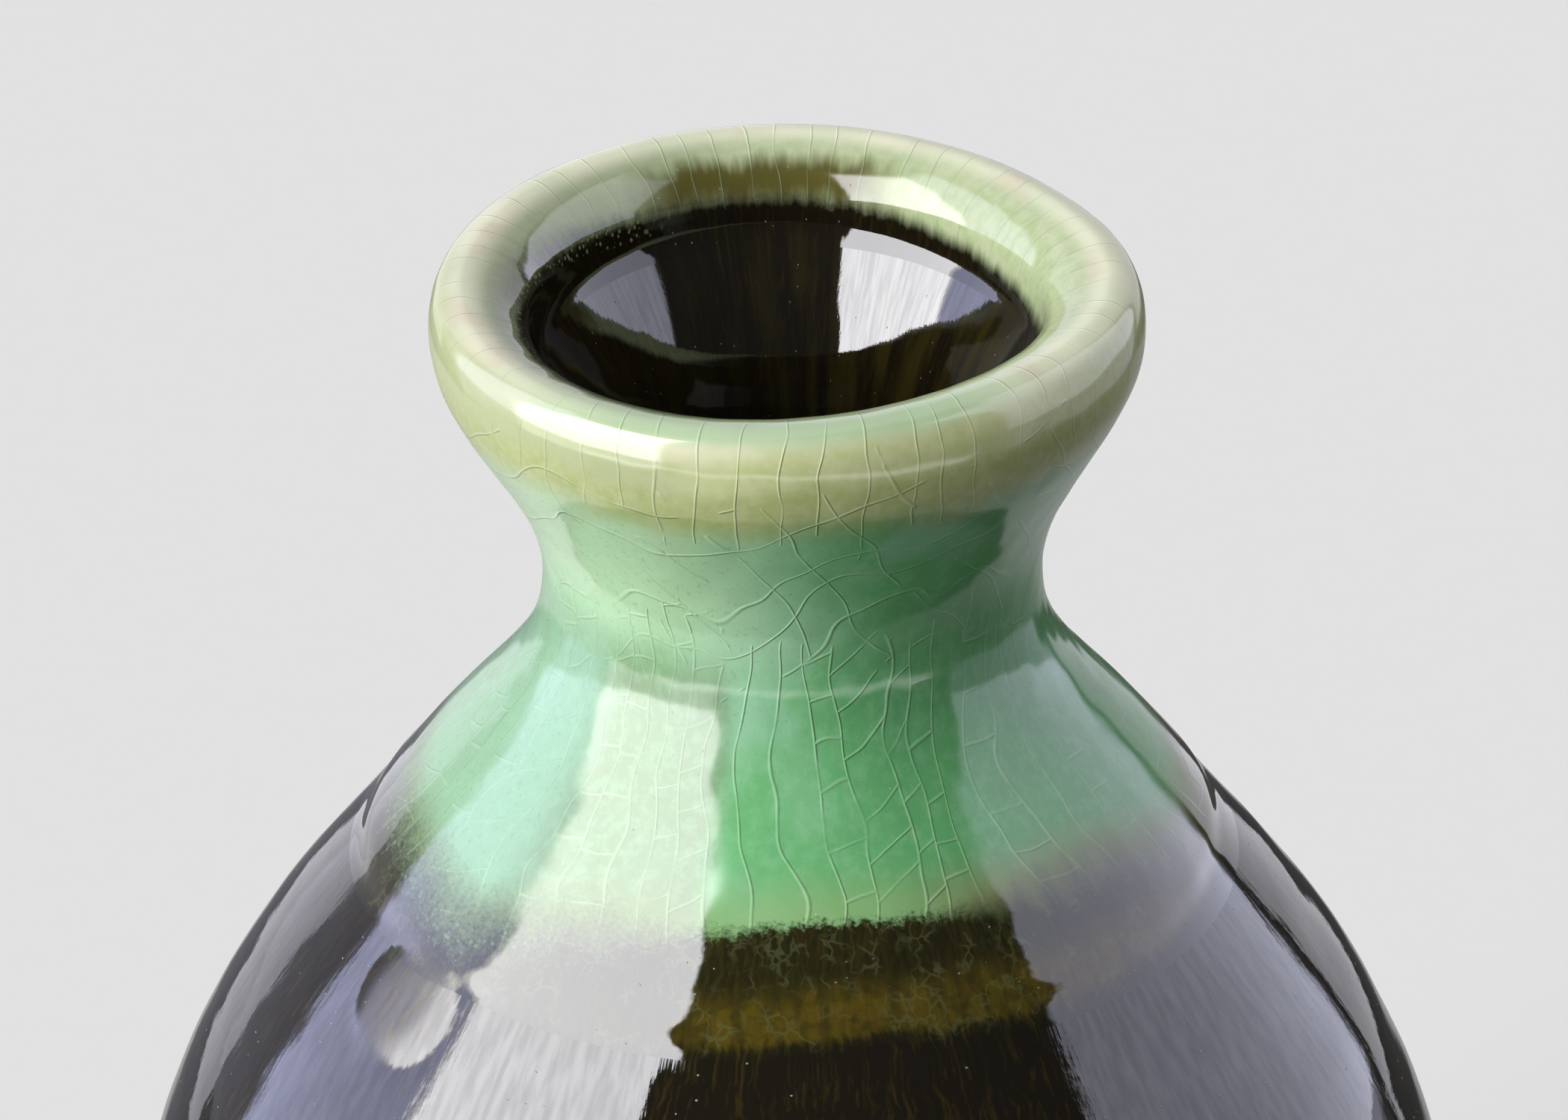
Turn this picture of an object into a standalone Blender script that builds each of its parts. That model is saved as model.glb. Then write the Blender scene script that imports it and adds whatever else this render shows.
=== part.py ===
"""Sake bottle (tokkuri): one turned stoneware body under three glaze coats.

Blender 4.5, metres, +Z up. The origin is the centre of the foot, on the surface it stands on.

The glazed surface of the bottle is one smooth outline, the skin. It starts at the glaze line near the foot,
climbs the outside, rolls over the lip and drops down the inside to the middle of the floor. Every piece is
cut from that outline: a coat lies between the skin and a line inset from it, and the clay is what they leave.
"""

import math

import bpy
from mathutils import Vector
from mathutils.geometry import interpolate_bezier

MM = 0.001

# Driving dimensions, outside the glaze
HEIGHT = 132.0 * MM
BELLY_RADIUS = 40.0 * MM
BELLY_Z = 61.0 * MM
NECK_RADIUS = 14.5 * MM
NECK_Z = 112.6 * MM
LIP_RADIUS = 21.0 * MM
LIP_Z = 129.2 * MM
CREST_RADIUS = 19.4 * MM
THROAT_RADIUS = 9.3 * MM
THROAT_Z = 114.2 * MM
WALL = 4.2 * MM
GLAZE_LINE_RADIUS = 28.4 * MM
GLAZE_LINE_Z = 7.0 * MM
FLOOR_Z = 8.0 * MM

# Glaze: a coat's full thickness, its thin edge where it runs out over or under another coat, and the bond
COAT = 0.6 * MM
THIN_EDGE = 0.1 * MM
BOND_GAP = 0.1 * MM
CLAY_INSET = COAT + BOND_GAP

# Foot ring, bare clay
FOOT_RADIUS = 26.0 * MM
FOOT_RING_WIDTH = 4.5 * MM
FOOT_RECESS = 2.2 * MM
FOOT_CHAMFER = 0.8 * MM

# The mouth was nudged by hand while soft: the front left is pushed out, the front right and back right are
# pulled in, and the front sits a little low
MOUTH_PUSH = 1.1 * MM
BACK_PULL = 1.4 * MM
BACK_PULL_AT = math.radians(124)
FRONT_DIP = 0.45 * MM
PUSH_FROM_Z = NECK_Z
FRONT = -math.pi / 2

AROUND = 40
WELD = 0.01 * MM
SHARP_CORNER = math.radians(40)
HANDLE_SHARE = 0.38
CURVE_POINTS_PER_STEP = 12
COLLECTION = "sake_bottle"

# The skin's knots: name, radius, height, the way the outline runs there (radius, height), steps to the next
SHOULDER_WAY = (-0.85, 1.0)
SKIN_KNOTS = (
    ("glaze_line", GLAZE_LINE_RADIUS, GLAZE_LINE_Z, (0.55, 1.0), 8),
    ("belly", BELLY_RADIUS, BELLY_Z, (0.0, 1.0), 3),
    ("shoulder", 36.8 * MM, 78.0 * MM, (-0.42, 1.0), 3),
    ("green_edge", 26.45 * MM, 94.0 * MM, (-0.78, 1.0), 2),
    ("iron_edge", 21.2 * MM, 100.6 * MM, SHOULDER_WAY, 5),
    ("neck", NECK_RADIUS, NECK_Z, (0.0, 1.0), 4),
    ("flare", 18.6 * MM, 122.8 * MM, (0.60, 1.0), 3),
    ("lip", LIP_RADIUS, LIP_Z, (0.0, 1.0), 3),
    ("crest", CREST_RADIUS, HEIGHT, (-1.0, 0.0), 4),
    ("inner_iron_edge", 14.9 * MM, 128.5 * MM, (-0.06, -1.0), 2),
    ("inner_green_edge", 14.1 * MM, 126.7 * MM, (-0.70, -1.0), 4),
    ("throat", THROAT_RADIUS, THROAT_Z, (0.0, -1.0), 5),
    ("inner_shoulder", 18.9 * MM, 97.6 * MM, (0.80, -1.0), 6),
    ("inner_belly", BELLY_RADIUS - WALL, BELLY_Z, (0.0, -1.0), 8),
    ("floor_edge", 17.0 * MM, 8.9 * MM, (-1.0, -0.12), 2),
    ("floor_middle", 0.0, FLOOR_Z, (-1.0, 0.0), 0),
)


def skin_stations():
    """The skin as a list of (knot name or None, point, unit vector into the wall), all in the XZ plane."""
    stations = []
    for here, after in zip(SKIN_KNOTS, SKIN_KNOTS[1:] + (None,)):
        name, radius, height, way, steps = here
        start, start_way = Vector((radius, 0, height)), Vector((way[0], 0, way[1])).normalized()
        if after is None:
            points = [start, start + start_way]
        else:
            end = Vector((after[1], 0, after[2]))
            end_way = Vector((after[3][0], 0, after[3][1])).normalized()
            reach = HANDLE_SHARE * (end - start).length
            handles = start + start_way * reach, end - end_way * reach
            points = interpolate_bezier(start, *handles, end, CURVE_POINTS_PER_STEP * steps + 1)
            points = points[::CURVE_POINTS_PER_STEP]
        for i, point in enumerate(points[:-1]):
            if i == 0:
                way_here = start_way
            else:
                way_here = (points[i + 1] - points[i - 1]).normalized()
            into_wall = Vector((-way_here.z, 0, way_here.x))
            stations.append((name if i == 0 else None, point, into_wall))
    return stations


def stretch(stations, first, last):
    """The stations from one named knot to another, both included."""
    names = [name for name, _, _ in stations]
    return stations[names.index(first) : names.index(last) + 1]


def inset(stations, depth):
    """The stretch moved into the wall by a depth, or by depths that run evenly from (first, last)."""
    first, last = depth if isinstance(depth, tuple) else (depth, depth)
    share = 1 / max(1, len(stations) - 1)
    return [
        point + into_wall * (first + (last - first) * i * share)
        for i, (_, point, into_wall) in enumerate(stations)
    ]


def clay_outline(stations):
    """From the middle of the floor, up the inside, over the lip, down the outside and under the foot."""
    clay = inset(stations, CLAY_INSET)
    clay[-1].x = 0.0
    ring_inside = FOOT_RADIUS - FOOT_RING_WIDTH
    foot = [
        Vector((FOOT_RADIUS, 0, FOOT_CHAMFER)),
        Vector((FOOT_RADIUS - FOOT_CHAMFER, 0, 0)),
        Vector((ring_inside + FOOT_CHAMFER, 0, 0)),
        Vector((ring_inside, 0, FOOT_CHAMFER)),
        Vector((ring_inside - FOOT_CHAMFER, 0, FOOT_RECESS)),
        Vector((0, 0, FOOT_RECESS)),
    ]
    return clay[::-1] + foot


def outer_iron_outline(stations):
    """The dark coat outside, from the glaze line to where it runs out under the green coat."""
    bare = stretch(stations, "glaze_line", "green_edge")
    lapped = stretch(stations, "green_edge", "iron_edge")
    outside = inset(bare, 0.0)
    under_green = inset(lapped, (THIN_EDGE + BOND_GAP, COAT - THIN_EDGE))
    against_clay = inset(stretch(stations, "glaze_line", "iron_edge"), COAT)
    return against_clay + under_green[::-1] + outside[::-1]


def inner_iron_outline(stations):
    """The dark coat inside, from where it runs out under the green coat to the middle of the floor."""
    lapped = stretch(stations, "inner_iron_edge", "inner_green_edge")
    bare = stretch(stations, "inner_green_edge", "floor_middle")
    under_green = inset(lapped, (COAT - THIN_EDGE, THIN_EDGE + BOND_GAP))
    against_clay = inset(stretch(stations, "inner_iron_edge", "floor_middle"), COAT)
    outside = inset(bare, 0.0)
    against_clay[-1].x = outside[-1].x = 0.0
    return outside[::-1] + under_green[::-1] + against_clay


def green_outline(stations):
    """The green coat, from its edge on the shoulder, over the lip, to its edge inside the mouth."""
    over_iron = COAT - THIN_EDGE - BOND_GAP
    outer_lap = inset(stretch(stations, "green_edge", "iron_edge"), (THIN_EDGE, over_iron))
    inner_lap = inset(stretch(stations, "inner_iron_edge", "inner_green_edge"), (over_iron, THIN_EDGE))
    against_clay = inset(stretch(stations, "iron_edge", "inner_iron_edge")[1:-1], COAT)
    outside = inset(stretch(stations, "green_edge", "inner_green_edge"), 0.0)
    return outer_lap + against_clay + inner_lap + outside[::-1]


def pressed(point):
    """Where a point of the turned bottle lies after the nudge. Only what is above the neck moved."""
    radius = math.hypot(point.x, point.y)
    if point.z <= PUSH_FROM_Z or radius == 0:
        return point
    rise = (point.z - PUSH_FROM_Z) / (HEIGHT - PUSH_FROM_Z)
    round_the_mouth = math.atan2(point.y, point.x) - FRONT
    front_half = (1 + math.cos(round_the_mouth)) / 2
    push = -MOUTH_PUSH * math.sin(2 * round_the_mouth) * front_half * rise**1.5
    push -= BACK_PULL * ((1 + math.cos(round_the_mouth - BACK_PULL_AT)) / 2) ** 10 * rise**1.5
    drop = FRONT_DIP * front_half**2 * rise**2
    return Vector((point.x * (1 + push / radius), point.y * (1 + push / radius), point.z - drop))


def glazed_material(name, colour, roughness):
    material = bpy.data.materials.new(name)
    material.use_nodes = True
    surface = material.node_tree.nodes["Principled BSDF"]
    surface.inputs["Base Color"].default_value = (*colour, 1.0)
    surface.inputs["Roughness"].default_value = roughness
    surface.inputs["Metallic"].default_value = 0.0
    return material


def turned(name, outline, closed, material, collection):
    """A piece turned from its outline about the bottle's axis, with the mouth's nudge."""
    profile = bpy.data.meshes.new(name)
    edges = [(i, i + 1) for i in range(len(outline) - 1)]
    if closed:
        edges.append((len(outline) - 1, 0))
    profile.from_pydata(outline, edges, [])
    piece = bpy.data.objects.new(name, profile)
    collection.objects.link(piece)
    screw = piece.modifiers.new("turned", "SCREW")
    screw.axis = "Z"
    screw.angle = 2 * math.pi
    screw.steps = screw.render_steps = AROUND
    screw.use_merge_vertices = True
    screw.merge_threshold = WELD
    screw.use_smooth_shade = True

    graph = bpy.context.evaluated_depsgraph_get()
    solid = bpy.data.meshes.new_from_object(piece.evaluated_get(graph), depsgraph=graph)
    for vertex in solid.vertices:
        vertex.co = pressed(vertex.co)
    piece.modifiers.clear()
    piece.data = solid
    bpy.data.meshes.remove(profile)
    solid.name = name
    solid.materials.append(material)
    solid.set_sharp_from_angle(angle=SHARP_CORNER)
    return piece


def main():
    for leftover in list(bpy.data.objects):
        bpy.data.objects.remove(leftover)
    bottle = bpy.data.collections.new(COLLECTION)
    bpy.context.scene.collection.children.link(bottle)

    stoneware = glazed_material("stoneware", (0.50, 0.37, 0.25), 0.85)
    iron_glaze = glazed_material("iron_glaze", (0.020, 0.013, 0.008), 0.08)
    green_glaze = glazed_material("green_glaze", (0.25, 0.52, 0.33), 0.08)

    stations = skin_stations()
    turned("clay_body", clay_outline(stations), False, stoneware, bottle)
    turned("outer_iron_glaze", outer_iron_outline(stations), True, iron_glaze, bottle)
    turned("inner_iron_glaze", inner_iron_outline(stations), False, iron_glaze, bottle)
    turned("green_glaze", green_outline(stations), True, green_glaze, bottle)


main()
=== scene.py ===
"""Looks for the sake bottle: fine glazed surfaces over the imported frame, their glazes, and a pale studio.

Metres, +Z up, in the frame's own space. Azimuth is in degrees from the front (-Y), and positive towards +X.
Each coat and the clay is rebuilt at a fine step on the outline and the rings read off its node in the frame.
The glazes' colour zones follow the skin: the length along the outline from the crest of the lip, positive
outside and negative inside.
"""

import math

import bmesh
import bpy
import numpy as np
from mathutils import Matrix, Vector


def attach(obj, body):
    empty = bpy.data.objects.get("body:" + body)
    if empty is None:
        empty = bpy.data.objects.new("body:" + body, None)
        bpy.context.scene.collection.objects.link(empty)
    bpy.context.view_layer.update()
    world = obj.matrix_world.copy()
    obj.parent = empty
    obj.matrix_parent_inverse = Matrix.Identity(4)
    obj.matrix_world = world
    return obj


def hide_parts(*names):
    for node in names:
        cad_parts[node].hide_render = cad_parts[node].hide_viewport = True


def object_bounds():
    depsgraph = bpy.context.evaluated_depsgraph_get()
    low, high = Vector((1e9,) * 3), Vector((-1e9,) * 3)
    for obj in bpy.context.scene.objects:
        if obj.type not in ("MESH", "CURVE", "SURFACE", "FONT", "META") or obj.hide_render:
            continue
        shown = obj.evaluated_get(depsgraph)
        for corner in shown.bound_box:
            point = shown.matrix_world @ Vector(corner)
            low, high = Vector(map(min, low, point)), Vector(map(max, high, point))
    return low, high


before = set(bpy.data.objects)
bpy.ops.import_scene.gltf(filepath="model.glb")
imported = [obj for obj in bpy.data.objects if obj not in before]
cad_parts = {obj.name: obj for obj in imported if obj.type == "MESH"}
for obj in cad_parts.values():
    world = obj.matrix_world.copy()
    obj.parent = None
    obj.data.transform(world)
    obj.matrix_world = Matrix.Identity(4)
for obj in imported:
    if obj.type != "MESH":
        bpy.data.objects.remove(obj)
CAD_LOW, CAD_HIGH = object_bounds()

MM = 0.001


def rgb(red, green, blue):
    return (red, green, blue, 1.0)


# Reading the frame: the nodes are turned in this many steps
TURN_STEPS = 40
WELD = 0.001 * MM
CORNER = math.radians(42)
TINY = 1e-12

# Fine surfaces: columns round the bottle, and the step along the outline where it shows and where it doesn't
COLUMNS = {"green_glaze": 400, "outer_iron_glaze": 400, "inner_iron_glaze": 280, "clay_body": 256}
SHOWN_STEP = {
    "green_glaze": 0.3 * MM,
    "outer_iron_glaze": 0.55 * MM,
    "inner_iron_glaze": 0.75 * MM,
    "clay_body": 1.0 * MM,
}
HIDDEN_STEP = 1.6 * MM
LONG_STRETCH = 6

# The glaze map: a place on the skin in millimetres, wrapped on a cylinder of this radius
MAP_RADIUS = 20.0

# The tide, where the green glaze ends, as (azimuth, skin length in millimetres), outside and inside
TIDE_OUTSIDE = (
    (-180, 37.5), (-140, 36.6), (-110, 37.6), (-88, 39.1), (-67, 39.9), (-54, 40.8), (-38, 38.8),
    (-18, 37.3), (3, 36.1), (28, 36.6), (56, 37.3), (80, 40.0), (104, 39.2), (136, 38.2), (158, 39.0),
)
TIDE_INSIDE = (
    (-180, -5.1), (-140, -4.9), (-97, -3.2), (-55, -2.2), (0, -2.6), (50, -4.4), (98, -6.4), (128, -5.9),
)

# How softly the green ends there, as (azimuth, millimetres)
BLUR_OUTSIDE = (
    (-180, 2.0), (-120, 1.6), (-78, 3.4), (-48, 3.8), (-30, 3.0), (-20, 1.4), (-8, 0.8), (25, 0.9),
    (40, 2.4), (90, 2.4), (140, 1.4),
)
BLUR_INSIDE = (
    (-180, 0.7), (-135, 0.9), (-100, 2.4), (-60, 2.2), (0, 1.4), (60, 1.2), (110, 0.8), (150, 0.7),
)

# The hem, where the brown band under the green ends, as (azimuth, skin length)
HEM = (
    (-180, 43.4), (-120, 43.0), (-60, 44.0), (-14, 43.7), (10, 42.8), (45, 43.3), (100, 42.6), (150, 43.6),
)
NO_HEM = -20.0

# Throwing marks, as (height of one turn, depth, phase), and the heights that they fade in and out between
RIPPLES = ((7.6, 0.045, 0.4), (12.5, 0.07, 2.1), (4.4, 0.014, 4.0))
RIPPLES_FADE_IN, RIPPLES_FADE_OUT, RIPPLES_FADE_AXIS = (14 * MM, 28 * MM), (104 * MM, 92 * MM), (0, 12 * MM)

# Low round swellings: azimuth, height, how proud, the radius of their top and of their foot, and how satin
SWELLINGS = ((-55.5, 92.2, 0.46, 1.5, 4.4, 0.45), (-20.5, 92.0, 0.17, 0.8, 3.5, 0.0))
SWELLING_STRETCH = 1.25

# The melted glaze's own relief: its unevenness, calmer inside, and where each coat's unevenness runs out
UNEVEN_SEED = 11
UNEVEN_WAVES = 40
UNEVEN_LENGTH = (2.6, 9.0)
UNEVEN_DEPTH = 0.012 * MM
CALM_INSIDE, CALM_FADE = 0.3, (-6, -2)
GREEN_FADE_OUTSIDE, GREEN_FADE_INSIDE, IRON_FADE = (-0.6, 0.6), (-9, -6), (44.5, 47)

# The green coat's rounded edge at the hem, and the iron coat's roll at the foot
HEM_STEP, HEM_ROLL, HEM_FADE = 0.16 * MM, 1.6, (10.0, 20.0)
FOOT_ROLL, FOOT_ROLL_Z, FOOT_ROLL_SPREAD = 0.25 * MM, 8.6 * MM, 1.5 * MM

# Glazes: gloss, bubbles, stray dots of green and how uneven the cracks' spacing is
GLAZE_IOR = 1.52
BUBBLES_PER_MM, BUBBLE_HEIGHT, BUBBLE_GREY = 1.5, 0.02, rgb(0.42, 0.43, 0.42)
DOTS_PER_MM = 2.2
CRACK_UNEVENNESS = 0.8

# Iron glaze: black and its threads, and the brown band between the hem and the green
IRON_BLACK, IRON_THREAD = rgb(0.009, 0.007, 0.004), rgb(0.028, 0.019, 0.004)
THROAT_BROWN = rgb(0.028, 0.023, 0.005)
BAND_BROWN, BAND_AMBER = rgb(0.014, 0.012, 0.003), rgb(0.080, 0.055, 0.005)
BAND_FUR, BAND_VEIN = rgb(0.045, 0.040, 0.007), rgb(0.12, 0.14, 0.06)

# Green glaze on the neck and shoulder, with some painted light and shade
# The last of these is painted shade, deeper on the right of the shoulder.
GREEN_LIGHT, GREEN_DEEP, GREEN_SHADED_RIGHT = rgb(0.275, 0.53, 0.33), rgb(0.14, 0.41, 0.165), rgb(0.09, 0.33, 0.12)
# The first of these is painted light on the neck's left, the second painted shade under the key panel's
# reflection.
GREEN_LIT_LEFT, GREEN_REFLECTION_SHADE, GREEN_MILKY = rgb(0.50, 0.69, 0.44), rgb(0.165, 0.215, 0.110), rgb(0.31, 0.53, 0.37)
GREEN_MOTTLE, GREEN_SPECKLE = rgb(0.34, 0.60, 0.38), rgb(0.15, 0.30, 0.13)
# The last of these is painted shade under the key panel's reflection.
TIDE_GREEN, TIDE_TAN, TIDE_REFLECTION_SHADE = rgb(0.24, 0.40, 0.16), rgb(0.24, 0.22, 0.11), rgb(0.18, 0.24, 0.11)
CRACK_PALE = rgb(0.50, 0.68, 0.46)

# Green glaze on the mouth: olive under the lip, yellower on its outer face, cream on its crest, and inside
OLIVE_DARK, OLIVE_LIGHT = rgb(0.38, 0.44, 0.15), rgb(0.47, 0.51, 0.23)
# The last of these is painted shade, for the left of the lip's outer face.
OUTER_DARK, OUTER_LIGHT, OUTER_SHADED_LEFT = rgb(0.53, 0.58, 0.27), rgb(0.62, 0.64, 0.36), rgb(0.37, 0.41, 0.23)
CREAM, CREAM_GREEN = rgb(0.78, 0.75, 0.56), rgb(0.66, 0.71, 0.50)
# The last of these is painted shade, for the left of the crest.
CREAM_BROWN, CREAM_SHADED_LEFT = rgb(0.70, 0.58, 0.44), rgb(0.42, 0.43, 0.28)
LIP_POOL = rgb(0.37, 0.53, 0.31)
INNER_DARK, INNER_LIGHT = rgb(0.39, 0.47, 0.25), rgb(0.48, 0.53, 0.33)
# The first of these is painted shade, for the left of the inside.
INNER_SHADED_LEFT, INNER_BROWN = rgb(0.25, 0.29, 0.17), rgb(0.095, 0.085, 0.020)

# Bare clay
CLAY_SAND, CLAY_BROWN, CLAY_PALE = rgb(0.50, 0.36, 0.24), rgb(0.40, 0.27, 0.17), rgb(0.62, 0.50, 0.38)
CLAY_GRIT, GRIT_PER_METRE = rgb(0.12, 0.07, 0.04), 900.0

# The camera: what it looks at, how far off, how high, its lens and its slight tilt
LOOK_AT = Vector((-0.5 * MM, 0.0, 113.0 * MM))
CAMERA_DISTANCE = 0.700
CAMERA_ELEVATION = math.radians(27.7)
CAMERA_LENS, SENSOR_WIDTH = 274.3, 36.0
CAMERA_ROLL = math.radians(0.3)

# What the glaze mirrors: panels all round, each from an azimuth to the next one's, as radiance
PANELS = (
    (-180.0, (0.42, 0.42, 0.52)),
    (-125.0, (3.10, 3.25, 4.75)),
    (-90.8, (0.8, 0.8, 1.0)),
    (-90.0, (13.3, 13.3, 13.8)),
    (-33.0, (0.0, 0.0, 0.0)),
    (72.0, (2.35, 2.40, 2.95)),
    (139.0, (0.0, 0.0, 0.0)),
)
BRIGHTEST_PANEL = 13.8
EDGE_BLUR = 0.6
PANEL_FOOT, PANEL_TOP, PANEL_TOP_BLUR = -10.0, 61.0, 4.0
PANEL_SPILL, SPILL_FOOT = 0.32, -24.0
BACKDROP, BACKDROP_FROM, BACKDROP_TURN, BACKDROP_FOOT = (0.90, 0.90, 0.98), 141.0, 1.5, -17.0
STRIP, STRIP_FOOT, STRIP_TOP, STRIP_BLUR, STRIP_ENDS = 3.7, -23.5, -19.5, 2.4, (66.0, 60.0)

# The table that the glaze mirrors low down, by azimuth: bright by the window, dark in the bottle's shadow
TABLE = (
    (-180, 0.35), (-130, 0.8), (-100, 1.1), (-60, 1.0), (-20, 0.6), (0, 0.42), (22, 0.25), (48, 0.1),
    (110, 0.15), (160, 0.35),
)
BRIGHTEST_TABLE, TABLE_BLUR = 1.1, 2.5

# Added light from the table near the bottle, growing between two elevations, and the ceiling's light
NEAR_TABLE, NEAR_FROM, NEAR_TO = 0.22, -32.0, -48.0
DARK, CEILING, ZENITH = 0.07, 0.4, 90.0
TWICE_MIRRORED = 0.15

# Soft light on the matt side of things, and the pale ground: sun azimuth, elevation, strength, width, colour
FILL_BELOW, FILL_ABOVE, FILL_TURN = 0.09, 0.13, 0.34
KEY_SUN = (-59.0, 18.0, 4.2, 50.0, (0.98, 1.0, 0.99))
SIDE_SUN = (100.0, 28.0, 0.62, 50.0, (0.94, 0.97, 1.0))
TOP_SUN = (-20.0, 78.0, 0.8, 40.0, (1.0, 1.0, 1.0))
WHITE, PALE = rgb(1, 1, 1), 0.753
FLOOR_TONE = (0.868, 0.855, 0.857)
FLOOR_RADIUS, FLOOR_SIDES = 3.0, 96


# ---------------------------------------------------------------- reading the frame


def turn_step(vertex):
    """Which of the frame's azimuth steps a vertex is on, or None on the axis."""
    if math.hypot(vertex.co.x, vertex.co.y) < 10 * WELD:
        return None
    return round(math.atan2(vertex.co.y, vertex.co.x) / math.tau * TURN_STEPS) % TURN_STEPS


def walk(start, step):
    """The vertices of one meridian in order: along the edges from the start, setting off outwards."""
    path, seen = [start], {start}
    while True:
        onward = {edge.other_vert(path[-1]) for edge in path[-1].link_edges} - seen
        onward = [vertex for vertex in onward if turn_step(vertex) in (step, None)]
        if not onward:
            return path
        path.append(max(onward, key=lambda vertex: math.hypot(vertex.co.x, vertex.co.y)))
        seen.add(path[-1])


def rings(node):
    """The node's radii and heights [turn step, place along the outline], and whether the outline is closed.

    An outline that meets the axis starts there, at its highest point. A closed one starts at its lowest.
    """
    mesh = bmesh.new()
    mesh.from_mesh(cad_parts[node].data)
    bmesh.ops.remove_doubles(mesh, verts=mesh.verts, dist=WELD)
    on_axis = [vertex for vertex in mesh.verts if turn_step(vertex) is None]
    radius, height = [], []
    for step in range(TURN_STEPS):
        if on_axis:
            start = max(on_axis, key=lambda vertex: vertex.co.z)
        else:
            start = min((v for v in mesh.verts if turn_step(v) == step), key=lambda vertex: vertex.co.z)
        path = walk(start, step)
        radius.append([math.hypot(vertex.co.x, vertex.co.y) for vertex in path])
        height.append([vertex.co.z for vertex in path])
    mesh.free()
    radius, height = np.array(radius), np.array(height)
    if on_axis and radius[0, -1] > WELD:
        radius = np.pad(radius, ((0, 0), (0, 1)))
        height = np.pad(height, ((0, 0), (0, 1)), mode="edge")
    return radius, height, not on_axis


# ---------------------------------------------------------------- fine surfaces


def round_finely(values, columns):
    """Values at the frame's turn steps, carried smoothly to a finer set of azimuths."""
    waves = np.fft.rfft(values, axis=0)
    return np.fft.irfft(waves, n=columns, axis=0) * columns / len(values)


def lengths(radius, height):
    """The length along an outline at each of its points."""
    return np.concatenate([[0.0], np.cumsum(np.hypot(np.diff(radius), np.diff(height)))])


def corners(radius, height, closed):
    """The places on an outline where it turns sharply. An open outline's ends count too."""
    run = np.stack([radius, height], axis=1)
    ahead = np.roll(run, -1, axis=0) - run
    behind = run - np.roll(run, 1, axis=0)
    turn = np.abs(np.arctan2(np.cross(behind, ahead), (behind * ahead).sum(axis=1)))
    found = set(np.nonzero(turn > CORNER)[0])
    if not closed:
        found |= {0, len(run) - 1}
    return sorted(found)


def eased(knots, values, places):
    """Values [turn, knot] carried along the outline to new places by a cubic through every knot."""
    if len(knots) == 2:
        share = (places - knots[0]) / (knots[-1] - knots[0])
        return values[:, :1] * (1 - share) + values[:, -1:] * share
    slopes = np.gradient(values, knots, axis=1)
    at = np.clip(np.searchsorted(knots, places, side="right") - 1, 0, len(knots) - 2)
    span = np.diff(knots)[at]
    t = (places - knots[at]) / span
    return (
        (2 * t**3 - 3 * t**2 + 1) * values[:, at]
        + (t**3 - 2 * t**2 + t) * span * slopes[:, at]
        + (3 * t**2 - 2 * t**3) * values[:, at + 1]
        + (t**3 - t**2) * span * slopes[:, at + 1]
    )


def fine_surface(node):
    """Radius and height on the node's fine grid, which of its rows show, and whether the outline is closed.

    The rows that show are the outline's first long stretch between two corners.
    """
    radius, height, closed = rings(node)
    marks = corners(radius.mean(axis=0), height.mean(axis=0), closed)
    if closed:
        radius = np.concatenate([radius, radius[:, :1]], axis=1)
        height = np.concatenate([height, height[:, :1]], axis=1)
        if marks[0] != 0:
            marks = [0] + marks
        marks = marks + [radius.shape[1] - 1]
    along = lengths(radius.mean(axis=0), height.mean(axis=0))
    columns = COLUMNS[node]
    radius, height = round_finely(radius, columns), round_finely(height, columns)
    parts, shown = [], []
    for first, last in zip(marks, marks[1:]):
        knots = along[first : last + 1]
        in_sight = node == "clay_body" or (last - first >= LONG_STRETCH and not any(shown))
        step = SHOWN_STEP[node] if in_sight else HIDDEN_STEP
        count = max(2, math.ceil((knots[-1] - knots[0]) / step) + 1)
        places = np.linspace(knots[0], knots[-1], count)[:-1]
        parts.append([eased(knots, values[:, first : last + 1], places) for values in (radius, height)])
        shown += [in_sight] * len(places)
    if not closed:
        parts.append([radius[:, -1:], height[:, -1:]])
        shown.append(False)
    radius = np.concatenate([part[0] for part in parts], axis=1)
    height = np.concatenate([part[1] for part in parts], axis=1)
    return np.maximum(radius, 0.0), height, np.array(shown), closed


def azimuths(columns):
    """Azimuth of each column in degrees from the front. Column 0 is at +X."""
    turned = np.arange(columns) * 360 / columns + 90
    return (turned + 180) % 360 - 180


def ring_curve(points, azimuth):
    """A smooth closed curve round the bottle through (azimuth, value) points, at the given azimuths."""
    knots = np.array([point[0] for point in points], float)
    values = np.array([point[1] for point in points], float)
    knots = np.concatenate([knots - 360, knots, knots + 360])
    return eased(knots, np.tile(values, 3)[None, :], azimuth)[0]


def smooth(value, low, high):
    """The value's share of the way from low to high, eased at both ends. Low may be the larger."""
    share = np.clip((value - low) / (high - low), 0, 1)
    return share * share * (3 - 2 * share)


def thrown(radius, height, azimuth):
    """The radius with the hand's marks: shallow rings that climb as they turn, and low round swellings."""
    turn = np.radians(azimuth)[:, None]
    mark = np.zeros_like(radius)
    for length, depth, phase in RIPPLES:
        wander = 0.5 * np.sin(turn + phase) + 0.35 * np.sin(2 * turn + 3 * phase)
        mark += depth * MM * (1 + np.sin(math.tau * height / (length * MM) - turn + wander + phase)) / 2
    fade = smooth(height, *RIPPLES_FADE_IN) * smooth(height, *RIPPLES_FADE_OUT)
    radius = radius - mark * fade * smooth(radius, *RIPPLES_FADE_AXIS)
    for middle, level, proud, top, foot, _ in SWELLINGS:
        radius = radius + proud * MM * swelling(radius, height, azimuth, middle, level, top, foot)
    return radius


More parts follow.
